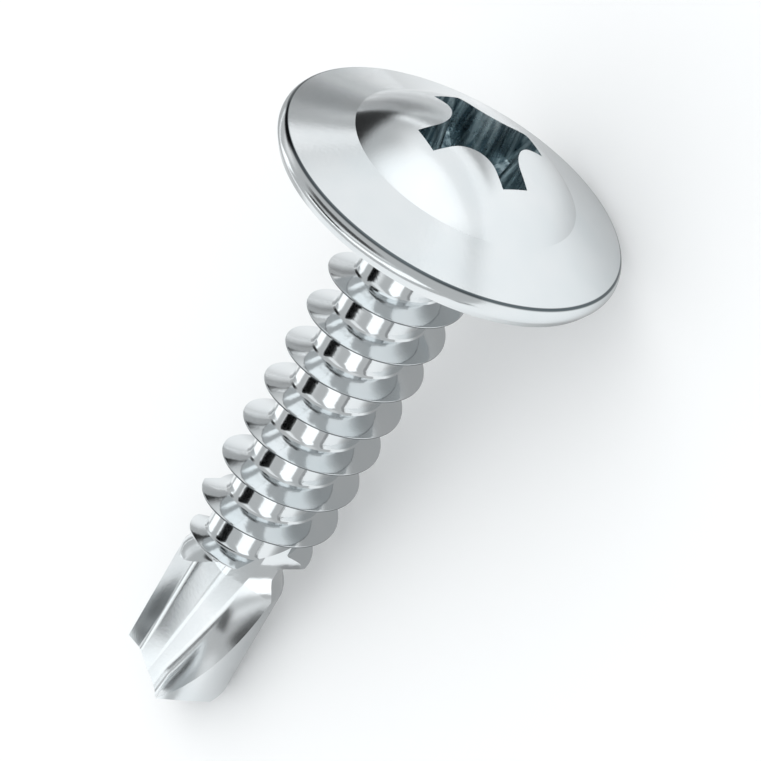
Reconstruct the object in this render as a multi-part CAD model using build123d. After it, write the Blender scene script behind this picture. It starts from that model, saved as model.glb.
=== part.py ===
from build123d import *
import os
from math import atan, cos, degrees, exp, radians, sin, sqrt, tan

# A self drilling screw with a domed washer head, in millimetres.
# It is modelled upright, its bearing face on z = 0, the point below and the head above, and is
# then laid down as it comes to rest: on the rim of its head and on two corners of its drill point.

# Head
HEAD_DIAMETER = 10.84
RIM_THICKNESS = 0.72
RIM_RADIUS = 0.42
RIM_UNDER_ANGLE = 30.0
WASHER_SLOPE = 21.0
DOME_BASE_DIAMETER = 7.0
DOME_RISE = 1.35
NECK_DIAMETER = 4.24
NECK_HEIGHT = 0.4

# Cross recess
RECESS_SPAN = 4.4
RECESS_DEPTH = 2.3
WING_WIDTH = 0.98
WING_CORNER_RADIUS = 1.05
WING_END_SLOPE = 20.0
WING_FLANK_SLOPE = 5.0
RECESS_FLOOR_SLOPE = 30.0
RECESS_TURN = 48.0

# Shank and thread
LENGTH = 19.35
THREAD_DIAMETER = 4.1
CORE_DIAMETER = 2.66
PITCH_LENGTH = 1.42
CREST_WIDTH = 0.05
FLANK_ANGLE = 22.5
CREST_TO_HEAD = 1.15
THREAD_FADE_TURNS = 0.5
THREAD_LEAD_TURNS = 1.6

# Drill point
DRILL_DIAMETER = 3.3
DRILL_LENGTH = 5.3
SHOULDER_ANGLE = 30.0
POINT_HALF_ANGLE = 59.0
RELIEF_ANGLE = 30.0
HEEL_ANGLE = 42.0

# Flutes of the drill point, two alike, each bounded by a wall and a twisting rake face.
# The cutting corner of the first one is at -y. Places in its section are fractions of the
# drill's radius, at the point and at the flute's upper end.
WALL_TURN = 85.0
WALL_FOOT = ((-0.715, 0.15), (-0.58, 0.06))
WEB_EDGE = ((-0.41, 0.12), (-0.055, -0.45))
RAKE_FOOT = ((-0.03, 0.05), (0.4, -0.42))
RAKE_TURN = 100.0
RAKE_TURN_LENGTH = 3.9
FLUTE_LENGTH = 6.3
FLUTE_END_SLOPE = 38.0
WALL_FOOT_RADIUS = 0.2
WEB_EDGE_RADIUS = 0.4
RAKE_FOOT_RADIUS = 0.4
FLUTE_SECTIONS = 6

HEAD_RADIUS = HEAD_DIAMETER / 2
CORE_RADIUS = CORE_DIAMETER / 2
THREAD_RADIUS = THREAD_DIAMETER / 2
DRILL_RADIUS = DRILL_DIAMETER / 2
DOME_BASE_RADIUS = DOME_BASE_DIAMETER / 2
RIM_CENTRE = HEAD_RADIUS - RIM_RADIUS
RIM_TOP_RADIUS = RIM_CENTRE + sqrt(RIM_RADIUS**2 - (RIM_THICKNESS - RIM_RADIUS) ** 2)
SEAT_RADIUS = RIM_CENTRE + RIM_RADIUS * (1 - sin(radians(RIM_UNDER_ANGLE))) / cos(radians(RIM_UNDER_ANGLE))
WASHER_WIDTH = RIM_TOP_RADIUS - DOME_BASE_RADIUS
DOME_BASE_HEIGHT = RIM_THICKNESS + WASHER_WIDTH * tan(radians(WASHER_SLOPE))
HEAD_HEIGHT = DOME_BASE_HEIGHT + DOME_RISE
DRILL_TOP = DRILL_LENGTH - LENGTH
CUTTING_CORNER_HEIGHT = DRILL_RADIUS / tan(radians(POINT_HALF_ANGLE)) - LENGTH
ROOT_OVERLAP = 0.08
THREAD_ROOT_RADIUS = CORE_RADIUS - ROOT_OVERLAP
BURIED_CREST = 0.03
CUT_MARGIN = 0.5


def head():
    """Neck, washer and dome, one turned profile."""
    rim_top = (RIM_TOP_RADIUS, RIM_THICKNESS)
    rim_side = (HEAD_RADIUS, RIM_RADIUS)
    rim_under = (
        RIM_CENTRE + RIM_RADIUS * cos(radians(RIM_UNDER_ANGLE)),
        RIM_RADIUS * (1 - sin(radians(RIM_UNDER_ANGLE))),
    )
    seat_edge = (SEAT_RADIUS, 0)
    dome_base = (DOME_BASE_RADIUS, DOME_BASE_HEIGHT)
    dome_top = (0, HEAD_HEIGHT)
    neck_top = (NECK_DIAMETER / 2, 0)
    neck_end = (CORE_RADIUS, -NECK_HEIGHT)
    with BuildPart() as turned:
        with BuildSketch(Plane.XZ):
            with BuildLine():
                Polyline((0, -NECK_HEIGHT), neck_end, neck_top, seat_edge, rim_under)
                ThreePointArc(rim_under, rim_side, rim_top)
                Line(rim_top, dome_base)
                TangentArc(dome_top, dome_base, tangent=(1, 0))
                Line(dome_top, (0, -NECK_HEIGHT))
            make_face()
        revolve(axis=Axis.Z)
    return turned.part


def cross_outline(half_span, wing_width, corner_radius):
    """A cross of four equal wings with rounded inner corners."""
    half = wing_width / 2
    points = []
    radii = []
    for turn in range(4):
        for x, y, radius in ((half_span, -half, 0), (half_span, half, 0), (half, half, corner_radius)):
            corner = Vector(x, y).rotate(Axis.Z, 90 * turn)
            points.append((corner.X, corner.Y))
            radii.append(radius)
    return make_face(FilletPolyline(*points, radius=radii, close=True))


def recess_section(height):
    """The recess at a height above the bearing face: it narrows towards its floor."""
    depth = HEAD_HEIGHT - height
    half_span = RECESS_SPAN / 2 - depth * tan(radians(WING_END_SLOPE))
    wing_width = WING_WIDTH - 2 * depth * tan(radians(WING_FLANK_SLOPE))
    corner_radius = WING_CORNER_RADIUS * (half_span - wing_width / 2) / (RECESS_SPAN / 2 - WING_WIDTH / 2)
    return Pos(0, 0, height) * cross_outline(half_span, wing_width, corner_radius)


def recess():
    """Cross recess that narrows to a conical floor."""
    floor = HEAD_HEIGHT - RECESS_DEPTH
    wings = loft([recess_section(floor), recess_section(HEAD_HEIGHT + 0.2)], ruled=True)
    reach = RECESS_SPAN
    cone_height = reach / tan(radians(90 - RECESS_FLOOR_SLOPE))
    funnel = Pos(0, 0, floor + cone_height / 2) * Cone(0, reach, cone_height)
    above = Pos(0, 0, floor + cone_height + reach / 2) * Cylinder(reach, reach)
    return Rot(0, 0, RECESS_TURN) * (wings & (funnel + above))


def ground(body):
    """Grinds the drill's end to four faces: each lip has a relief face and a steeper heel."""
    relief = Vector(-tan(radians(RELIEF_ANGLE)), 1 / tan(radians(POINT_HALF_ANGLE)), 1)
    heel = Vector(-tan(radians(HEEL_ANGLE)), 0, 1)
    for normal in (relief, heel):
        for turn in (0, 180):
            face = Plane((0, 0, -LENGTH), z_dir=normal.rotate(Axis.Z, turn))
            body = split(body, bisect_by=face, keep=Keep.TOP)
    return body


def shank():
    """Core of the thread and the thicker blank of the drill, with its point."""
    shoulder = (DRILL_RADIUS - CORE_RADIUS) / tan(radians(SHOULDER_ANGLE))
    with BuildPart() as turned:
        with BuildSketch(Plane.XZ):
            Polygon(
                (0, -LENGTH),
                (DRILL_RADIUS, -LENGTH),
                (DRILL_RADIUS, DRILL_TOP),
                (CORE_RADIUS, DRILL_TOP + shoulder),
                (CORE_RADIUS, 0),
                (0, 0),
                align=None,
            )
        revolve(axis=Axis.Z)
    return ground(turned.part)


def thread_stretch(bottom, turns, low_radius, high_radius):
    """One stretch of the thread's ridge, whose crest runs from one radius to another."""
    rise = PITCH_LENGTH * turns
    taper = degrees(atan((high_radius - low_radius) / rise))

    def half_foot(radius):
        return CREST_WIDTH / 2 + (radius - THREAD_ROOT_RADIUS) * tan(radians(FLANK_ANGLE))

    def crest(offset):
        along_cone = PITCH_LENGTH / cos(radians(taper))
        return Edge.make_helix(along_cone, rise, low_radius, (0, 0, bottom + offset), angle=taper)

    def foot(side):
        height = rise + side * (half_foot(high_radius) - half_foot(low_radius))
        start = bottom + side * half_foot(low_radius)
        return Edge.make_helix(height / turns, height, THREAD_ROOT_RADIUS, (0, 0, start))

    lines = [foot(-1), crest(-CREST_WIDTH / 2), crest(CREST_WIDTH / 2), foot(1)]
    faces = [Face.make_surface_from_curves(lines[i - 1], lines[i]) for i in range(4)]
    faces += [Face(Wire.make_polygon([line @ end for line in lines])) for end in (0, 1)]
    return Solid(Shell(faces))


def thread():
    """Single start right-hand thread: it rises out of the drill's blank and fades below the head."""
    full_turns = (-CREST_TO_HEAD - DRILL_TOP) / PITCH_LENGTH - THREAD_LEAD_TURNS
    full_bottom = DRILL_TOP + PITCH_LENGTH * THREAD_LEAD_TURNS
    lead = thread_stretch(DRILL_TOP, THREAD_LEAD_TURNS, DRILL_RADIUS - BURIED_CREST, THREAD_RADIUS)
    full = thread_stretch(full_bottom, full_turns, THREAD_RADIUS, THREAD_RADIUS)
    fade = thread_stretch(-CREST_TO_HEAD, THREAD_FADE_TURNS, THREAD_RADIUS, CORE_RADIUS - BURIED_CREST)
    full = Rot(0, 0, 360 * THREAD_LEAD_TURNS) * full
    fade = Rot(0, 0, 360 * (THREAD_LEAD_TURNS + full_turns)) * fade
    return lead, full, fade


def rake_corner(height):
    """Where the rake face leaves the drill's surface, at a height above the point."""
    above = max(height - LENGTH - CUTTING_CORNER_HEIGHT, 0)
    turned = RAKE_TURN * (1 - exp(-above / RAKE_TURN_LENGTH))
    return Vector(0, -DRILL_RADIUS).rotate(Axis.Z, turned)


def between(ends, share):
    """A point of the flute's section, moving from its place at the point to that at the upper end."""
    start = Vector(*ends[0]) * DRILL_RADIUS
    end = Vector(*ends[1]) * DRILL_RADIUS
    return start + (end - start) * share


def flute_section(height):
    """Section of the flute's cut, at a height above the point."""
    share = height / FLUTE_LENGTH
    wall_foot = between(WALL_FOOT, share)
    web_edge = between(WEB_EDGE, share)
    rake_foot = between(RAKE_FOOT, share)
    wall_top = Vector(0, -DRILL_RADIUS).rotate(Axis.Z, -WALL_TURN)
    rake_top = rake_corner(height)
    wall_end = wall_foot + (wall_top - wall_foot) * 2.5
    rake_end = rake_top + (rake_top - rake_foot).normalized() * DRILL_RADIUS
    outside = -2.5 * DRILL_RADIUS
    outline = FilletPolyline(
        (wall_end.X, wall_end.Y),
        (wall_foot.X, wall_foot.Y),
        (web_edge.X, web_edge.Y),
        (rake_foot.X, rake_foot.Y),
        (rake_end.X, rake_end.Y),
        (rake_end.X, outside),
        (wall_end.X, outside),
        radius=[0, WALL_FOOT_RADIUS, WEB_EDGE_RADIUS, RAKE_FOOT_RADIUS, 0, 0, 0],
        close=True,
    )
    return Pos(0, 0, height - LENGTH) * make_face(outline)


def flute():
    """Cut of the flute at -y, which ends at a sloping face under the thread."""
    top = FLUTE_LENGTH + THREAD_RADIUS * tan(radians(FLUTE_END_SLOPE))
    heights = [top * i / (FLUTE_SECTIONS - 1) for i in range(FLUTE_SECTIONS)]
    heights[0] = -CUT_MARGIN
    cut = loft([flute_section(height) for height in heights])
    end = Plane((0, 0, FLUTE_LENGTH - LENGTH), z_dir=Vector(0, 0, -1).rotate(Axis.Y, -FLUTE_END_SLOPE))
    return split(cut, bisect_by=end, keep=Keep.TOP)


def upright_screw():
    body = head() + shank()
    body = body + list(thread())
    for turn in (0, 180):
        body = body - Rot(0, 0, turn) * flute()
    return body - recess()


def resting_plane():
    """Plane of the floor: it touches the rim and two corners of the flute that faces it."""
    cutting_corner = Vector(0, DRILL_RADIUS, CUTTING_CORNER_HEIGHT)
    heel = Vector(0, DRILL_RADIUS).rotate(Axis.Z, -WALL_TURN)
    heel_corner = Vector(heel.X, heel.Y, heel.X * tan(radians(HEEL_ANGLE)) - LENGTH)
    up = Vector(-heel.X, -heel.Y - DRILL_RADIUS).normalized()
    for _ in range(12):
        outward = Vector(-up.X, -up.Y).normalized()
        rim_centre = outward * RIM_CENTRE + Vector(0, 0, RIM_RADIUS)
        rim = rim_centre - up * RIM_RADIUS
        up = (cutting_corner - rim).cross(heel_corner - rim).normalized()
        up = up if up.X < 0 else -up
    forward = (Vector(0, 0, -1) + up * up.Z).normalized()
    return Plane(rim, x_dir=forward, z_dir=up)


def laid_down(screw):
    """The screw at rest on z = 0, its point towards +x, centred over the origin."""
    screw = resting_plane().to_local_coords(screw)
    box = screw.bounding_box()
    return Pos(-box.center().X, -box.center().Y, 0) * screw


os.makedirs("parts", exist_ok=True)
screw = laid_down(upright_screw())
export_step(screw, "parts/screw.step")
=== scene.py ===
import math

import bmesh
import bpy
import numpy as np
from mathutils import Matrix, Vector


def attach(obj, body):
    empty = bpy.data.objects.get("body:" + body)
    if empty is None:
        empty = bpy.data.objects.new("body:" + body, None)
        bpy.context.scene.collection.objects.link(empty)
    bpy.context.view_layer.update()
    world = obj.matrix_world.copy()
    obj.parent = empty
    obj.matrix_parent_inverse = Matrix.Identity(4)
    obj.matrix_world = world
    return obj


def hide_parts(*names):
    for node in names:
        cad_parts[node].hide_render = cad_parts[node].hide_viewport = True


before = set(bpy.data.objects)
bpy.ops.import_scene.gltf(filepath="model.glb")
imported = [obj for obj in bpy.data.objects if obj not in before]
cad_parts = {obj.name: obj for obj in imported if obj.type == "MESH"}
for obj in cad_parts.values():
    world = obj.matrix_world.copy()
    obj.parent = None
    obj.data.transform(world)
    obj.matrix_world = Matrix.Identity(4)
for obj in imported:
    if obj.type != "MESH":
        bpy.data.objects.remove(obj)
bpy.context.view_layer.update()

# Sizes in millimetres, as the screw is made. Its own frame stands upright: the bearing face is
# z = 0, the point is below and the head above.
MM = 0.001

HEAD_RADIUS = 5.42
RIM_THICKNESS = 0.72
RIM_RADIUS = 0.42
RIM_UNDER_ANGLE = math.radians(30.0)
WASHER_SLOPE = math.radians(21.0)
DOME_BASE_RADIUS = 3.5
DOME_RISE = 1.35
NECK_RADIUS = 2.12
NECK_HEIGHT = 0.4

RECESS_SPAN = 4.4
RECESS_DEPTH = 2.3
WING_WIDTH = 0.98
WING_CORNER_RADIUS = 1.05
WING_END_SLOPE = math.radians(20.0)
WING_FLANK_SLOPE = math.radians(5.0)
RECESS_FLOOR_SLOPE = math.radians(30.0)
RECESS_TURN = math.radians(48.0)
LIP_MARGIN = 0.2

LENGTH = 19.35
THREAD_RADIUS = 2.05
CORE_RADIUS = 1.33
PITCH = 1.42
CREST_WIDTH = 0.05
FLANK_ANGLE = math.radians(22.5)
CREST_TO_HEAD = 1.15
THREAD_FADE_TURNS = 0.5
THREAD_LEAD_TURNS = 1.6
BURIED_CREST = 0.03
LEAST_CREST_RADIUS = 0.5

# The ridge's rounding, in halves of its crest's width, and the fillet at the flank's foot
CREST_MIDDLE_DROP = 0.1
CREST_EDGE_DROP = 0.4
FILLET_RISE = 0.24
FILLET_OFFSET = 0.035
FILLET_WIDTH = 0.08

DRILL_RADIUS = 1.65
DRILL_LENGTH = 5.3
SHOULDER_ANGLE = math.radians(30.0)
POINT_HALF_ANGLE = math.radians(59.0)
RELIEF_ANGLE = math.radians(30.0)
HEEL_ANGLE = math.radians(42.0)
POINT_MARGIN = 1.5

# Corners of the flute's section in drill radii: at the point, and where the flute runs out
WALL_FOOT = ((-0.715, 0.15), (-0.58, 0.06))
WEB_EDGE = ((-0.41, 0.12), (-0.055, -0.45))
RAKE_FOOT = ((-0.03, 0.05), (0.4, -0.42))
WALL_FOOT_RADIUS = 0.2
WEB_EDGE_RADIUS = 0.4
RAKE_FOOT_RADIUS = 0.4
WALL_TURN = math.radians(85.0)
RAKE_TURN = math.radians(100.0)
RAKE_TURN_LENGTH = 3.9
FLUTE_LENGTH = 6.3
FLUTE_END_SLOPE = math.radians(38.0)
FLUTE_REACH = 2.5
CUT_MARGIN = 0.5

RIM_TURN = math.asin((RIM_THICKNESS - RIM_RADIUS) / RIM_RADIUS)
RIM_CENTRE = HEAD_RADIUS - RIM_RADIUS
RIM_TOP_RADIUS = RIM_CENTRE + RIM_RADIUS * math.cos(RIM_TURN)
SEAT_RADIUS = RIM_CENTRE + RIM_RADIUS * (1 - math.sin(RIM_UNDER_ANGLE)) / math.cos(RIM_UNDER_ANGLE)
DOME_BASE_HEIGHT = RIM_THICKNESS + (RIM_TOP_RADIUS - DOME_BASE_RADIUS) * math.tan(WASHER_SLOPE)
HEAD_HEIGHT = DOME_BASE_HEIGHT + DOME_RISE
DOME_RADIUS = (DOME_BASE_RADIUS ** 2 + DOME_RISE ** 2) / (2 * DOME_RISE)
DOME_CENTRE = Vector((0, 0, HEAD_HEIGHT - DOME_RADIUS))
DRILL_TOP = DRILL_LENGTH - LENGTH
CUTTING_CORNER_HEIGHT = DRILL_RADIUS / math.tan(POINT_HALF_ANGLE) - LENGTH

# How finely the forms are divided: steps of a round, and shares of a straight line
TURN_STEPS = 160
HEAD_STEPS = 256
RIM_STEPS = 14
DOME_STEPS = 24
WING_CORNER_STEPS = 16
FLUTE_CORNER_STEPS = 10
FLUTE_FACE_POINTS = 12
FLUTE_LEVELS = 52
SEAT_SHARES = (0, 0.02, 0.5, 0.98, 1)
WASHER_SHARES = (0.01, 0.1, 0.3, 0.5, 0.7, 0.9, 0.97, 1.0)
FLANK_SHARES = (0.08, 0.5, 0.93)
ROOT_SHARES = (0.33, 0.67, 1.0)

# Rounds in which a value that depends on itself is found
FLOOR_ROUNDS = 20
FOOT_ROUNDS = 12
REST_ROUNDS = 12

# Two points closer than this are one
SAME_POINT = 1e-6

# How near a corner has to lie to a face, and a face to the recess, to be counted to it
FACE_TOLERANCE = 0.002
DOME_TOLERANCE = 0.01
RECESS_MARGIN = 0.05
SHARP_ANGLE = math.radians(28.0)

# Camera, from the photograph's perspective: the head's bearing face as the camera sees it in
# millimetres, the lens in pixels of the picture, and the sensor in millimetres
VIEW_TO_AXIS = math.radians(60.0)
AXIS_IN_IMAGE = math.radians(-59.5)
SCREW_IN_CAMERA = (1.811, -4.988, 193.807)
FOCAL_PIXELS = 6800.0
IMAGE_PIXELS = 761.0
SENSOR = 36.0
CAMERA_NEAR = 0.001
CAMERA_FAR = 10

# Colours
ZINC_WHITE = (0.80, 0.82, 0.83, 1)
ZINC_BLUE = (0.75, 0.785, 0.80, 1)
# Painted shade in the recess: a dark and a pale colour, mixed in streaks
SHADE_STREAK_DARK = (0.16, 0.22, 0.25, 1)
SHADE_STREAK_PALE = (0.62, 0.70, 0.72, 1)
# Painted shade along the rim's edge and under each crest
SHADE_LINE_DARK = (0.05, 0.07, 0.08, 1)
FLOOR_WHITE = (0.93, 0.93, 0.93, 1)
STUDIO_WHITE = (0.97, 0.99, 1.0, 1.0)
BLACK = (0, 0, 0, 1)

# Patterns of the metal: waves to a millimetre, and levels of finer detail
CLOUDS = (0.6, 2)
GRAIN = (9.0, 3)
STREAKS = (5.0, 2)
PATTERN_LOW = 0.3
PATTERN_HIGH = 0.7
STREAK_SPREAD = (-0.3, 1.2)

# Roughness of the plating, and what each place adds to it
PLATING_ROUGHNESS = (0.08, 0.10)
GRAIN_ROUGHNESS = 0.01
HEAD_ROUGHNESS = 0.05
DRILL_ROUGHNESS = 0.12
RECESS_ROUGHNESS = 0.14
FLOOR_ROUGHNESS = 0.8

# Relief: the streaks' height in parts of the grain's, its strength, and its height in metres
STREAK_RELIEF = 8.0
RELIEF_STRENGTH = 0.25
RELIEF_HEIGHT = 0.000004

# Painted shade lines: offsets and half widths in millimetres
LINE_STRENGTH = 0.92
LINE_CORE = 0.4
RIM_LINE_OFFSET = 0.02
RIM_LINE_WIDTH = 0.055
RIM_LINE_HEIGHT = 0.1
CREST_LINE_OFFSET = -0.014
CREST_LINE_WIDTH = 0.032
CREST_LINE_DEPTH = 0.12

# Light: the studio's brightness, and how much less of it the metal mirrors
STUDIO_BRIGHTNESS = 1.16
MIRRORED_LESS = 0.62

# The floor's half width and the lift of the boards that lie on it, in metres
FLOOR_REACH = 1
BOARD_LIFT = 0.0001

# Boards that only the metal mirrors. Hung ones: azimuth, elevation, width and height in degrees
# as the screw sees them, distance in metres, brightness, and the share of them that fades out.
HUNG_BOARDS = {
    "box_right": (41, 28, 40, 24, 0.30, 1.35, 0.12),
    "box_middle": (11, 31, 32, 18, 0.31, 1.35, 0.1),
    "box_back": (-18, 32, 36, 14, 0.32, 1.35, 0.1),
    "box_left": (-55, 10, 16, 30, 0.31, 1.35, 0.2),
    "box_head": (-178, 30, 90, 58, 0.32, 1.3, 0.35),
    "board_head": (-175, 2, 100, 44, 0.33, 1.0, 0.3),
    "board_side": (-80, 30, 34, 34, 0.29, 0.85, 0.4),
    "flag_core": (-22, 43, 29, 15, 0.20, 0.0, 0.12),
    "box_top": (20, 55, 70, 14, 0.30, 0.95, 0.3),
    "flag_top": (0, 76, 70, 26, 0.25, 0.06, 0.25),
    "board_dark": (-112, 15, 34, 50, 0.064, 0.03, 0.22),
    "board_near": (66, 1, 30, 14, 0.06, 0.3, 0.3),
}
# Laid ones: x, y, width and length in metres, turn in degrees, brightness and fading share
LAID_BOARDS = {
    "mat_grey": (-0.018, -0.047, 0.1, 0.086, -17, 0.48, 0.15),
    "mat_dark": (-0.020, -0.031, 0.022, 0.044, -22, 0.28, 0.4),
    # The board under the screw is a painted shadow: a dim patch that only the metal mirrors
    "mirrored_shadow_under": (-0.001, 0, 0.026, 0.014, 0, 0.4, 0.3),
}


def unit(angle):
    """Direction of an angle in the xy plane."""
    return np.array([math.cos(angle), math.sin(angle)])


def turned(point, angle):
    """A point of the xy plane turned about the origin."""
    c, s = math.cos(angle), math.sin(angle)
    return np.array([c * point[0] - s * point[1], s * point[0] + c * point[1]])


def new_object(name, vertices, faces):
    """An object of these faces, its equal points joined and its faces turned outward."""
    mesh = bpy.data.meshes.new(name)
    mesh.from_pydata([tuple(v) for v in vertices], [], faces)
    mesh.validate()
    piece = bpy.data.objects.new(name, mesh)
    bpy.context.scene.collection.objects.link(piece)
    work = bmesh.new()
    work.from_mesh(mesh)
    bmesh.ops.remove_doubles(work, verts=work.verts, dist=SAME_POINT)
    bmesh.ops.recalc_face_normals(work, faces=work.faces)
    work.to_mesh(mesh)
    work.free()
    return piece


def rectangle(name, x, y):
    """A flat face that reaches as far as x and y to either side of its middle."""
    return new_object(name, [(-x, -y, 0), (x, -y, 0), (x, y, 0), (-x, y, 0)], [(0, 1, 2, 3)])


def lathe(name, profile, steps):
    """A closed turned solid: the profile's first and last points lie on the axis."""
    vertices = [(0, 0, profile[0][1]), (0, 0, profile[-1][1])]
    rings = profile[1:-1]
    for radius, height in rings:
        for i in range(steps):
            x, y = radius * unit(2 * math.pi * i / steps)
            vertices.append((x, y, height))
    faces = []
    for i in range(steps):
        j = (i + 1) % steps
        faces.append((0, 2 + i, 2 + j))
        for ring in range(len(rings) - 1):
            low = 2 + ring * steps
            high = low + steps
            faces.append((low + i, high + i, high + j, low + j))
        top = 2 + (len(rings) - 1) * steps
        faces.append((1, top + j, top + i))
    return new_object(name, vertices, faces)


def stacked(name, sections):
    """A closed solid through sections that have equally many points."""
    count = len(sections[0])
    vertices = [point for section in sections for point in section]
    faces = [tuple(range(count))[::-1]]
    for level in range(len(sections) - 1):
        low = level * count
        for i in range(count):
            j = (i + 1) % count
            faces.append((low + i, low + j, low + count + j, low + count + i))
    top = (len(sections) - 1) * count
    faces.append(tuple(range(top, top + count)))
    return new_object(name, vertices, faces)


def combine(piece, tool, operation):
    """Boolean of two solids: the tool is used up."""
    step = piece.modifiers.new("combine", "BOOLEAN")
    step.operation = operation
    step.solver = "EXACT"
    step.object = tool
    mesh = bpy.data.meshes.new_from_object(piece.evaluated_get(bpy.context.evaluated_depsgraph_get()))
    piece.modifiers.clear()
    piece.data = mesh
    bpy.data.objects.remove(tool)
    return piece


def arc(centre, radius, start, end, steps):
    """Points of an arc, both ends included."""
    return [np.array(centre) + radius * unit(start + (end - start) * i / steps) for i in range(steps + 1)]


def between(first, last, count):
    """Evenly spaced points on a line, without its ends."""
    return [first + (last - first) * i / (count + 1) for i in range(1, count + 1)]


def rounded_corner(before, corner, after, radius, steps):
    """Points of the arc that rounds a corner of an outline."""
    if radius == 0:
        return [corner]
    back = (before - corner) / np.linalg.norm(before - corner)
    ahead = (after - corner) / np.linalg.norm(after - corner)
    half = math.acos(np.clip(back @ ahead, -1, 1)) / 2
    middle = (back + ahead) / np.linalg.norm(back + ahead)
    centre = corner + middle * radius / math.sin(half)
    first = corner + back * radius / math.tan(half) - centre
    last = corner + ahead * radius / math.tan(half) - centre
    start = math.atan2(first[1], first[0])
    sweep = math.atan2(last[1], last[0]) - start
    sweep = (sweep + math.pi) % (2 * math.pi) - math.pi
    return arc(centre, radius, start, start + sweep, steps)


def rounded_outline(points, radii, steps):
    """A closed outline with each of its corners rounded by its own radius."""
    outline = []
    for i, (corner, radius) in enumerate(zip(points, radii)):
        outline += rounded_corner(points[i - 1], corner, points[(i + 1) % len(points)], radius, steps)
    return outline


def head_profile():
    """From the axis below the bearing face, round the rim and over the dome."""
    profile = [np.array([0, -NECK_HEIGHT]), np.array([CORE_RADIUS, -NECK_HEIGHT])]
    profile += [np.array([NECK_RADIUS + (SEAT_RADIUS - NECK_RADIUS) * f, 0]) for f in SEAT_SHARES]
    profile += arc((RIM_CENTRE, RIM_RADIUS), RIM_RADIUS, -RIM_UNDER_ANGLE, RIM_TURN, RIM_STEPS)
    edge = np.array([RIM_TOP_RADIUS, RIM_THICKNESS])
    base = np.array([DOME_BASE_RADIUS, DOME_BASE_HEIGHT])
    profile += [edge + (base - edge) * f for f in WASHER_SHARES]
    opening = math.asin(DOME_BASE_RADIUS / DOME_RADIUS)
    profile += arc((0, DOME_CENTRE.z), DOME_RADIUS, math.pi / 2 - opening, math.pi / 2, DOME_STEPS)[1:]
    profile[-1] = np.array([0, HEAD_HEIGHT])
    return profile


def recess_outline(height):
    """Section of the cross recess at a height: four wings with hollow corners between them."""
    depth = HEAD_HEIGHT - height
    half_span = RECESS_SPAN / 2 - depth * math.tan(WING_END_SLOPE)
    half = WING_WIDTH / 2 - depth * math.tan(WING_FLANK_SLOPE)
    corner = WING_CORNER_RADIUS * (half_span - half) / (RECESS_SPAN / 2 - WING_WIDTH / 2)
    points = []
    radii = []
    for turn in range(4):
        for point, radius in (((half_span, -half), 0), ((half_span, half), 0), ((half, half), corner)):
            points.append(turned(point, turn * math.pi / 2 + RECESS_TURN))
            radii.append(radius)
    return rounded_outline(points, radii, WING_CORNER_STEPS)


def recess_cut():
    """The cross recess: its walls end where they meet the conical floor."""
    floor = HEAD_HEIGHT - RECESS_DEPTH
    lip = HEAD_HEIGHT + LIP_MARGIN
    low = recess_outline(floor)
    high = recess_outline(lip)
    vertices = []
    count = len(low)
    for a, b in zip(low, high):
        share = 0.0
        for _ in range(FLOOR_ROUNDS):
            point = a + (b - a) * share
            share = np.hypot(*point) * math.tan(RECESS_FLOOR_SLOPE) / (lip - floor)
        point = a + (b - a) * share
        vertices.append((point[0], point[1], floor + (lip - floor) * share))
    vertices += [(p[0], p[1], lip) for p in high]
    vertices.append((0, 0, floor))
    vertices.append((0, 0, lip))
    faces = []
    for i in range(count):
        j = (i + 1) % count
        faces.append((i, j, count + j, count + i))
        faces.append((j, i, 2 * count))
        faces.append((count + i, count + j, 2 * count + 1))
    return new_object("recess_cut", vertices, faces)


def base_radius(height):
    """The blank without its thread: core, shoulder and drill."""
    slope = (height - DRILL_TOP) * math.tan(SHOULDER_ANGLE)
    return min(max(DRILL_RADIUS - slope, CORE_RADIUS), DRILL_RADIUS)


def crest_radius(turn, full_turns):
    """Radius of the thread's crest, counted in turns from where it rises out of the drill."""
    buried = DRILL_RADIUS - BURIED_CREST
    lead = buried + (THREAD_RADIUS - buried) * turn / THREAD_LEAD_TURNS
    past = turn - THREAD_LEAD_TURNS - full_turns
    fade = THREAD_RADIUS + (CORE_RADIUS - BURIED_CREST - THREAD_RADIUS) * past / THREAD_FADE_TURNS
    return max(min(lead, fade, THREAD_RADIUS), LEAST_CREST_RADIUS)


def ridge_side(crest, middle, side):
    """Offsets and radii down one side of the ridge to half a pitch away."""
    half_crest = CREST_WIDTH / 2
    foot = half_crest
    for _ in range(FOOT_ROUNDS):
        foot = half_crest + (crest - base_radius(middle + side * foot)) * math.tan(FLANK_ANGLE)
        foot = max(foot, half_crest)
    top = max(crest, base_radius(middle))
    ground = base_radius(middle + side * foot)
    edge = half_crest if crest > base_radius(middle) else 0
    points = [(half_crest / 2, top - CREST_MIDDLE_DROP * edge), (half_crest, top - CREST_EDGE_DROP * edge)]
    for share in FLANK_SHARES:
        points.append((half_crest + (foot - half_crest) * share, top + (ground - top) * share))
    for beyond, rise in ((FILLET_OFFSET, FILLET_RISE * edge), (FILLET_WIDTH, 0)):
        points.append((foot + beyond, base_radius(middle + side * (foot + beyond)) + rise))
    span = PITCH / 2 - foot - FILLET_WIDTH
    for share in ROOT_SHARES:
        offset = foot + FILLET_WIDTH + span * share
        points.append((offset, base_radius(middle + side * offset)))
    return top, points


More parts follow.
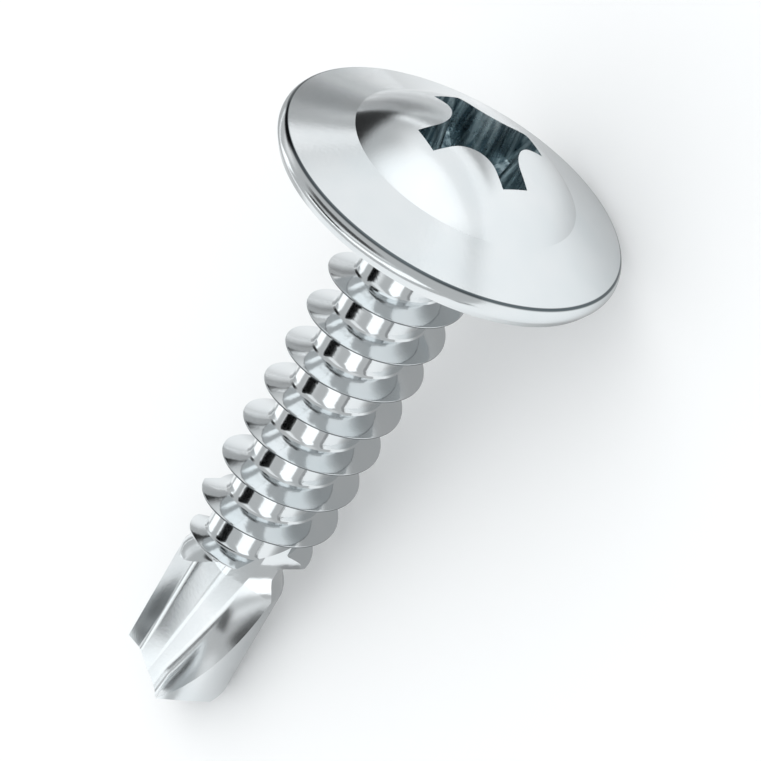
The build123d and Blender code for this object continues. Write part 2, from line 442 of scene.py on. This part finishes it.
def threaded_blank():
    """Core, thread and drill blank as one strip wound about the axis, a pitch wide."""
    full_turns = (-CREST_TO_HEAD - DRILL_TOP) / PITCH - THREAD_LEAD_TURNS
    below = math.ceil((DRILL_LENGTH + POINT_MARGIN) / PITCH)
    above = math.ceil(-DRILL_TOP / PITCH)
    count = (below + above) * TURN_STEPS
    vertices = []
    index = {}
    for i in range(count + 1):
        turn = i / TURN_STEPS - below
        middle = DRILL_TOP + PITCH * turn
        crest = crest_radius(turn, full_turns)
        top, left = ridge_side(crest, middle, -1)
        _, right = ridge_side(crest, middle, 1)
        profile = [(-s, r) for s, r in reversed(left)] + [(0, top)] + right
        columns = len(profile) - 1
        direction = unit(2 * math.pi * turn)
        for j, (offset, radius) in enumerate(profile):
            if j == 0 and i >= TURN_STEPS:
                index[i, 0] = index[i - TURN_STEPS, columns]
                continue
            index[i, j] = len(vertices)
            vertices.append((radius * direction[0], radius * direction[1], middle + offset))
    faces = []
    for i in range(count):
        for j in range(columns):
            faces.append((index[i, j], index[i + 1, j], index[i + 1, j + 1], index[i, j + 1]))
    low = len(vertices)
    vertices.append((0, 0, DRILL_TOP - PITCH * below))
    high = len(vertices)
    vertices.append((0, 0, DRILL_TOP + PITCH * above))
    for i in range(TURN_STEPS):
        faces.append((low, index[i + 1, 0], index[i, 0]))
        k = count - TURN_STEPS + i
        faces.append((high, index[k, columns], index[k + 1, columns]))
    for j in range(columns):
        faces.append((low, index[0, j], index[0, j + 1]))
        faces.append((high, index[count, j + 1], index[count, j]))
    return new_object("screw", vertices, faces)


def flute_outline(height):
    """Section of the flute's cut, at a height above the point."""
    share = height / FLUTE_LENGTH
    wall_foot, web_edge, rake_foot = (
        (np.array(ends[0]) + (np.array(ends[1]) - np.array(ends[0])) * share) * DRILL_RADIUS
        for ends in (WALL_FOOT, WEB_EDGE, RAKE_FOOT)
    )
    corner = np.array([0, -DRILL_RADIUS])
    wall_top = turned(corner, -WALL_TURN)
    above = max(height - LENGTH - CUTTING_CORNER_HEIGHT, 0)
    rake_top = turned(corner, RAKE_TURN * (1 - math.exp(-above / RAKE_TURN_LENGTH)))
    wall_end = wall_foot + (wall_top - wall_foot) * FLUTE_REACH
    rake = (rake_top - rake_foot) / np.linalg.norm(rake_top - rake_foot)
    rake_end = rake_top + rake * DRILL_RADIUS
    outside = -FLUTE_REACH * DRILL_RADIUS
    points = [wall_end, wall_foot, web_edge, rake_foot, rake_end]
    points += [np.array([rake_end[0], outside]), np.array([wall_end[0], outside])]
    radii = [0, WALL_FOOT_RADIUS, WEB_EDGE_RADIUS, RAKE_FOOT_RADIUS, 0, 0, 0]
    outline = rounded_outline(points, radii, FLUTE_CORNER_STEPS)
    foot = 3 * (FLUTE_CORNER_STEPS + 1)
    wall = between(outline[0], outline[1], FLUTE_FACE_POINTS)
    rake = between(outline[foot], outline[foot + 1], FLUTE_FACE_POINTS)
    return outline[:1] + wall + outline[1:foot + 1] + rake + outline[foot + 1:]


def flute_cut(turn):
    """One flute's cut: it runs out at a sloping face."""
    top = FLUTE_LENGTH + THREAD_RADIUS * math.tan(FLUTE_END_SLOPE)
    sections = []
    for level in range(FLUTE_LEVELS + 1):
        height = -CUT_MARGIN + (top + CUT_MARGIN) * level / FLUTE_LEVELS
        section = [turned(point, turn) for point in flute_outline(height)]
        sections.append([(x, y, height - LENGTH) for x, y in section])
    end = half_space((math.tan(FLUTE_END_SLOPE), 0, -1), turn, FLUTE_LENGTH)
    return combine(stacked("flute_cut", sections), end, "DIFFERENCE")


def half_space(normal, turn, height):
    """Block behind a plane that crosses the axis at a height above the point."""
    depth = 4 * LENGTH
    reach = 5 * DRILL_RADIUS
    up = Matrix.Rotation(turn, 3, "Z") @ Vector(normal).normalized()
    tilt = up.to_track_quat("Z", "Y").to_matrix()
    corners = [(x, y, z) for x in (-reach, reach) for y in (-reach, reach) for z in (-depth, 0)]
    vertices = [Vector((0, 0, height - LENGTH)) + tilt @ Vector(c) for c in corners]
    faces = [(0, 1, 3, 2), (4, 6, 7, 5), (0, 4, 5, 1), (2, 3, 7, 6), (0, 2, 6, 4), (1, 5, 7, 3)]
    return new_object("half_space", vertices, faces)


def make_screw():
    """Blank, point, flutes, head and recess, each cut or joined in turn."""
    screw = threaded_blank()
    relief = (-math.tan(RELIEF_ANGLE), 1 / math.tan(POINT_HALF_ANGLE), 1)
    heel = (-math.tan(HEEL_ANGLE), 0, 1)
    for turn in (0, math.pi):
        combine(screw, half_space(relief, turn, 0), "DIFFERENCE")
        combine(screw, half_space(heel, turn, 0), "DIFFERENCE")
        combine(screw, flute_cut(turn), "DIFFERENCE")
    combine(screw, lathe("head", head_profile(), HEAD_STEPS), "UNION")
    combine(screw, recess_cut(), "DIFFERENCE")
    screw.name = "screw_finished"
    return screw


def resting_frame():
    """Rotation that lays the screw on its rim and on two corners of the flute that faces down,
    and the place of the rim that it rests on."""
    cutting = Vector((0, DRILL_RADIUS, CUTTING_CORNER_HEIGHT))
    heel_x, heel_y = turned((0, DRILL_RADIUS), -WALL_TURN)
    heel = Vector((heel_x, heel_y, heel_x * math.tan(HEEL_ANGLE) - LENGTH))
    up = Vector((-heel_x, -heel_y - DRILL_RADIUS, 0)).normalized()
    for _ in range(REST_ROUNDS):
        outward = Vector((-up.x, -up.y, 0)).normalized()
        rim = outward * RIM_CENTRE + Vector((0, 0, RIM_RADIUS)) - up * RIM_RADIUS
        up = (cutting - rim).cross(heel - rim).normalized()
        up = up if up.x < 0 else -up
    forward = (Vector((0, 0, -1)) + up * up.z).normalized()
    return Matrix((forward, up.cross(forward), up)), rim


def lay_down(screw):
    """Onto the table, in metres, with its box centred; returns the matrix that took it there."""
    rotation, rim = resting_frame()
    points = np.array([v.co for v in screw.data.vertices]) @ np.array(rotation).T
    middle = (points.min(0) + points.max(0)) / 2
    shift = Vector((-middle[0], -middle[1], -(rotation @ rim).z))
    matrix = Matrix.Scale(MM, 4) @ Matrix.Translation(shift) @ rotation.to_4x4()
    screw.data.transform(matrix)
    return matrix


def mark_recess(screw):
    """Face attribute of the upright screw: 1 on the walls and floor of the recess, 0 elsewhere; the
    material paints shade where it is 1.
    """
    marks = screw.data.attributes.new("recess", "FLOAT", "FACE")
    points = [v.co for v in screw.data.vertices]
    lowest = HEAD_HEIGHT - RECESS_DEPTH - RECESS_MARGIN
    widest = RECESS_SPAN / 2 + RECESS_MARGIN
    inside = DOME_RADIUS - DOME_TOLERANCE
    for polygon in screw.data.polygons:
        near = polygon.center.z > lowest and polygon.center.xy.length < widest
        below = any((points[i] - DOME_CENTRE).length < inside for i in polygon.vertices)
        marks.data[polygon.index].value = 1.0 if near and below else 0.0


def true_normals(screw, place):
    """Shading normals of the washer, the dome and the flutes' sloping ends, from their true form."""
    mesh = screw.data
    upright = place.inverted()
    turn = place.to_3x3().normalized()
    points = [upright @ v.co for v in mesh.vertices]
    recess = mesh.attributes["recess"].data
    steep = math.tan(FLUTE_END_SLOPE)
    lean = math.sin(WASHER_SLOPE)
    normals = [Vector((0, 0, 0))] * len(mesh.loops)
    for polygon in mesh.polygons:
        if recess[polygon.index].value:
            continue
        middle = upright @ polygon.center
        corners = [points[i] for i in polygon.vertices]
        found = []
        if middle.z > DOME_BASE_HEIGHT:
            found = [(p - DOME_CENTRE).normalized() for p in corners]
        elif middle.z > RIM_THICKNESS and middle.xy.length < RIM_TOP_RADIUS:
            found = [Vector((*p.xy.normalized() * lean, math.cos(WASHER_SLOPE))) for p in corners]
        else:
            for side in (1, -1):
                away = [abs(p.z + LENGTH - FLUTE_LENGTH - side * p.x * steep) for p in corners]
                if max(away) < FACE_TOLERANCE:
                    found = [Vector((side * steep, 0, -1)).normalized()] * len(corners)
        for loop, normal in zip(polygon.loop_indices, found):
            normals[loop] = turn @ normal
    mesh.normals_split_custom_set(normals)


def add_camera(place):
    """The photograph's viewpoint, fixed to the screw as it lies."""
    tilt, turn = VIEW_TO_AXIS, AXIS_IN_IMAGE
    axis = Vector((math.sin(tilt) * math.cos(turn), math.sin(tilt) * math.sin(turn), -math.cos(tilt)))
    across = Vector((-math.sin(turn), math.cos(turn), 0))
    away = axis.cross(across)
    to_camera = Matrix((across, away, axis)).transposed()
    to_screw = to_camera.inverted()
    where = to_screw @ -Vector(SCREW_IN_CAMERA)
    right, down, ahead = (to_screw @ Vector(v) for v in ((1, 0, 0), (0, 1, 0), (0, 0, 1)))
    pose = Matrix((right, -down, -ahead)).transposed()
    camera = bpy.data.objects.new("camera", bpy.data.cameras.new("camera"))
    camera.data.sensor_width = SENSOR
    camera.data.lens = FOCAL_PIXELS / IMAGE_PIXELS * SENSOR
    camera.data.clip_start = CAMERA_NEAR
    camera.data.clip_end = CAMERA_FAR
    placed = place.to_3x3().normalized() @ pose
    camera.matrix_world = Matrix.Translation(place @ where) @ placed.to_4x4()
    bpy.context.scene.collection.objects.link(camera)
    bpy.context.scene.camera = camera


def new_group(name, inputs, outputs):
    """A node group with named inputs and outputs, and the nodes that hold them."""
    tree = bpy.data.node_groups.new(name, "ShaderNodeTree")
    for way, sockets in (("INPUT", inputs), ("OUTPUT", outputs)):
        for label, kind in sockets.items():
            tree.interface.new_socket(label, in_out=way, socket_type="NodeSocket" + kind)
    return tree, tree.nodes.new("NodeGroupInput"), tree.nodes.new("NodeGroupOutput")


def new_material(name):
    """A material, its nodes and its main shader."""
    material = bpy.data.materials.new(name)
    material.use_nodes = True
    return material, material.node_tree, material.node_tree.nodes["Principled BSDF"]


def math_node(tree, operation, *values):
    """Result of an operation on numbers and on other nodes' results."""
    node = tree.nodes.new("ShaderNodeMath")
    node.operation = operation
    for socket, value in zip(node.inputs, values):
        if isinstance(value, (int, float)):
            socket.default_value = value
        else:
            tree.links.new(value, socket)
    return node.outputs[0]


def product(tree, first, second):
    return math_node(tree, "MULTIPLY", first, second)


def total(tree, first, second):
    return math_node(tree, "ADD", first, second)


def difference(tree, first, second):
    return math_node(tree, "SUBTRACT", first, second)


def split_place(tree, place):
    """The x, y and z of a place."""
    split = tree.nodes.new("ShaderNodeSeparateXYZ")
    tree.links.new(place, split.inputs[0])
    return split.outputs


def smooth_ramp(tree, value, start, end):
    """0 where a value is at the start, rising smoothly to 1 at the end."""
    ramp = tree.nodes.new("ShaderNodeMapRange")
    ramp.interpolation_type = "SMOOTHSTEP"
    ramp.inputs["From Min"].default_value = start
    ramp.inputs["From Max"].default_value = end
    tree.links.new(value, ramp.inputs["Value"])
    return ramp.outputs["Result"]


def noise(tree, place, scale, detail, dimensions="3D"):
    """An irregular pattern over a place."""
    node = tree.nodes.new("ShaderNodeTexNoise")
    node.noise_dimensions = dimensions
    node.inputs["Scale"].default_value = scale
    node.inputs["Detail"].default_value = detail
    tree.links.new(place, node.inputs["Vector"])
    return node.outputs["Fac"]


def spread(tree, value, low, high):
    """A pattern's value, which stays about its middle, spread between two limits."""
    node = tree.nodes.new("ShaderNodeMapRange")
    node.inputs["From Min"].default_value = PATTERN_LOW
    node.inputs["From Max"].default_value = PATTERN_HIGH
    node.inputs["To Min"].default_value = low
    node.inputs["To Max"].default_value = high
    tree.links.new(value, node.inputs["Value"])
    return node.outputs["Result"]


def mixed(tree, share, first, second):
    """Two colours mixed: the share is the second one's."""
    node = tree.nodes.new("ShaderNodeMix")
    node.data_type = "RGBA"
    tree.links.new(share, node.inputs["Factor"])
    for name, value in (("A", first), ("B", second)):
        socket = [s for s in node.inputs if s.name == name and s.type == "RGBA"][0]
        if isinstance(value, tuple):
            socket.default_value = value
        else:
            tree.links.new(value, socket)
    return [s for s in node.outputs if s.type == "RGBA"][0]


def band(tree, value, middle, half_width):
    """1 where a value is near the middle of a band, falling to 0 at its limits."""
    away = math_node(tree, "ABSOLUTE", difference(tree, value, middle))
    return smooth_ramp(tree, away, half_width, half_width * LINE_CORE)


def shade_line_group():
    """Painted shade: thin dark lines where the washer meets its rim, and along the lower side of the
    crest.
    """
    tree, given, result = new_group("painted_shade_lines", {"Place": "Vector"}, {"Mask": "Float"})
    x, y, z = split_place(tree, given.outputs["Place"])
    radius = math_node(tree, "SQRT", total(tree, product(tree, x, x), product(tree, y, y)))
    rim_place = band(tree, radius, RIM_TOP_RADIUS + RIM_LINE_OFFSET, RIM_LINE_WIDTH)
    rim = product(tree, rim_place, band(tree, z, RIM_THICKNESS, RIM_LINE_HEIGHT))
    climb = product(tree, math_node(tree, "ARCTAN2", y, x), PITCH / (2 * math.pi))
    along = difference(tree, difference(tree, z, DRILL_TOP), climb)
    offset = math_node(tree, "WRAP", along, PITCH / 2, -PITCH / 2)
    below_head = math_node(tree, "LESS_THAN", z, 0.0)
    outside = product(tree, band(tree, radius, THREAD_RADIUS, CREST_LINE_DEPTH), below_head)
    crest = product(tree, band(tree, offset, CREST_LINE_OFFSET, CREST_LINE_WIDTH), outside)
    tree.links.new(math_node(tree, "MAXIMUM", rim, crest), result.inputs["Mask"])
    return tree


def plating_and_shade_group():
    """Bright plating, with painted shade in the recess, darker and streaked, and painted shade lines, by
    place in millimetres.
    """
    inputs = {"Place": "Vector", "Recess": "Float", "Line": "Float"}
    outputs = {"Colour": "Color", "Roughness": "Float", "Height": "Float"}
    tree, given, result = new_group("plating", inputs, outputs)
    place, recess = given.outputs["Place"], given.outputs["Recess"]
    clouds = noise(tree, place, *CLOUDS)
    grain = noise(tree, place, *GRAIN)
    streaks = noise(tree, place, *STREAKS, "2D")

    plated = mixed(tree, spread(tree, clouds, 0, 1), ZINC_WHITE, ZINC_BLUE)
    # Painted shade: the recess is darkened, in streaks
    streaked_shade = mixed(tree, spread(tree, streaks, *STREAK_SPREAD), SHADE_STREAK_DARK, SHADE_STREAK_PALE)
    with_recess_shade = mixed(tree, recess, plated, streaked_shade)
    # Painted shade: dark lines at the rim's edge and under the crest
    shade = product(tree, given.outputs["Line"], LINE_STRENGTH)
    tree.links.new(mixed(tree, shade, with_recess_shade, SHADE_LINE_DARK), result.inputs["Colour"])

    height = split_place(tree, place)["Z"]
    head = product(tree, math_node(tree, "GREATER_THAN", height, 0.0), HEAD_ROUGHNESS)
    drill = product(tree, math_node(tree, "LESS_THAN", height, DRILL_TOP), DRILL_ROUGHNESS)
    polish = total(tree, spread(tree, clouds, *PLATING_ROUGHNESS), total(tree, head, drill))
    smooth = total(tree, spread(tree, grain, -GRAIN_ROUGHNESS, GRAIN_ROUGHNESS), polish)
    rough = total(tree, smooth, product(tree, recess, RECESS_ROUGHNESS))
    tree.links.new(rough, result.inputs["Roughness"])

    lines = product(tree, product(tree, streaks, recess), STREAK_RELIEF)
    tree.links.new(total(tree, grain, lines), result.inputs["Height"])
    return tree


def metal(place):
    """Bright zinc, with painted shade in the recess and in thin lines: the pattern is laid out in the
    upright screw's own millimetres.
    """
    material, tree, shader = new_material("bright_zinc")
    shader.inputs["Metallic"].default_value = 1
    where = tree.nodes.new("ShaderNodeTexCoord")
    upright = tree.nodes.new("ShaderNodeMapping")
    upright.inputs["Scale"].default_value = (1 / MM, 1 / MM, 1 / MM)
    upright.inputs["Location"].default_value = place.inverted().translation
    upright.inputs["Rotation"].default_value = place.to_3x3().normalized().inverted().to_euler()
    tree.links.new(where.outputs["Object"], upright.inputs["Vector"])
    recess = tree.nodes.new("ShaderNodeAttribute")
    recess.attribute_name = "recess"
    plating = tree.nodes.new("ShaderNodeGroup")
    plating.node_tree = plating_and_shade_group()
    tree.links.new(upright.outputs["Vector"], plating.inputs["Place"])
    tree.links.new(recess.outputs["Fac"], plating.inputs["Recess"])
    lines = tree.nodes.new("ShaderNodeGroup")
    lines.node_tree = shade_line_group()
    tree.links.new(upright.outputs["Vector"], lines.inputs["Place"])
    tree.links.new(lines.outputs["Mask"], plating.inputs["Line"])
    relief = tree.nodes.new("ShaderNodeBump")
    relief.inputs["Strength"].default_value = RELIEF_STRENGTH
    relief.inputs["Distance"].default_value = RELIEF_HEIGHT
    tree.links.new(plating.outputs["Height"], relief.inputs["Height"])
    tree.links.new(plating.outputs["Colour"], shader.inputs["Base Color"])
    tree.links.new(plating.outputs["Roughness"], shader.inputs["Roughness"])
    tree.links.new(relief.outputs["Normal"], shader.inputs["Normal"])
    return material


def add_floor():
    """The pale table that the screw lies on."""
    floor = rectangle("floor", FLOOR_REACH, FLOOR_REACH)
    material, _, shader = new_material("pale_floor")
    shader.inputs["Base Color"].default_value = FLOOR_WHITE
    shader.inputs["Roughness"].default_value = FLOOR_ROUGHNESS
    floor.data.materials.append(material)


def toward(azimuth, elevation, distance):
    """A place seen from the screw at an azimuth and elevation in degrees."""
    a, e = math.radians(azimuth), math.radians(elevation)
    return Vector((math.cos(e) * math.cos(a), math.cos(e) * math.sin(a), math.sin(e))) * distance


def soft_edge_group():
    """Mask of a board: 1 in its middle, fading to 0 at its edges."""
    tree, given, result = new_group("soft_edge", {"Fade": "Float"}, {"Mask": "Float"})
    place = tree.nodes.new("ShaderNodeTexCoord")
    across, along, _ = split_place(tree, place.outputs["Generated"])
    sides = []
    for near in (across, along):
        nearest = math_node(tree, "MINIMUM", near, difference(tree, 1.0, near))
        inside = math_node(tree, "DIVIDE", nearest, given.outputs["Fade"])
        sides.append(smooth_ramp(tree, inside, 0, 1))
    tree.links.new(product(tree, *sides), result.inputs["Mask"])
    return tree


def hang_board(name, azimuth, elevation, width, height, distance, brightness, fade, soft_edge):
    """A board that faces the screw from a distance: its width and height are angles in degrees."""
    x, y = (distance * math.tan(math.radians(angle / 2)) for angle in (width, height))
    board = rectangle(name, x, y)
    board.location = toward(azimuth, elevation, distance)
    board.rotation_euler = board.location.to_track_quat("Z", "Y").to_euler()
    finish_board(board, brightness, fade, soft_edge)


def lay_board(name, x, y, width, length, turn, brightness, fade, soft_edge):
    """A board on the floor: sizes in metres, its turn in degrees."""
    board = rectangle(name, width / 2, length / 2)
    board.location = (x, y, BOARD_LIFT)
    board.rotation_euler = (0, 0, math.radians(turn))
    finish_board(board, brightness, fade, soft_edge)


def finish_board(board, brightness, fade, soft_edge):
    """A glowing face with soft edges that only mirrors show."""
    board.visible_camera = False
    board.visible_diffuse = False
    board.visible_shadow = False
    material, tree, shader = new_material(board.name)
    shader.inputs["Base Color"].default_value = BLACK
    shader.inputs["Specular IOR Level"].default_value = 0
    shader.inputs["Emission Color"].default_value = STUDIO_WHITE
    shader.inputs["Emission Strength"].default_value = brightness
    mask = tree.nodes.new("ShaderNodeGroup")
    mask.node_tree = soft_edge
    mask.inputs["Fade"].default_value = fade
    tree.links.new(mask.outputs["Mask"], shader.inputs["Alpha"])
    board.data.materials.append(material)


def add_light():
    """An even white studio, dimmer in mirrors, with the boards about the screw."""
    bpy.context.scene.view_settings.view_transform = "Standard"
    world = bpy.data.worlds.new("studio")
    world.use_nodes = True
    bpy.context.scene.world = world
    tree = world.node_tree
    background = tree.nodes["Background"]
    background.inputs["Color"].default_value = STUDIO_WHITE
    ray = tree.nodes.new("ShaderNodeLightPath")
    dimmer = product(tree, ray.outputs["Is Glossy Ray"], MIRRORED_LESS)
    tree.links.new(difference(tree, STUDIO_BRIGHTNESS, dimmer), background.inputs["Strength"])
    soft_edge = soft_edge_group()
    for name, values in HUNG_BOARDS.items():
        hang_board(name, *values, soft_edge)
    for name, values in LAID_BOARDS.items():
        lay_board(name, *values, soft_edge)


screw = make_screw()
mark_recess(screw)
place = lay_down(screw)
for polygon in screw.data.polygons:
    polygon.use_smooth = True
screw.data.set_sharp_from_angle(angle=SHARP_ANGLE)
true_normals(screw, place)
screw.data.materials.clear()
screw.data.materials.append(metal(place))
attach(screw, "root")
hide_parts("screw")
add_camera(place)
add_floor()
add_light()
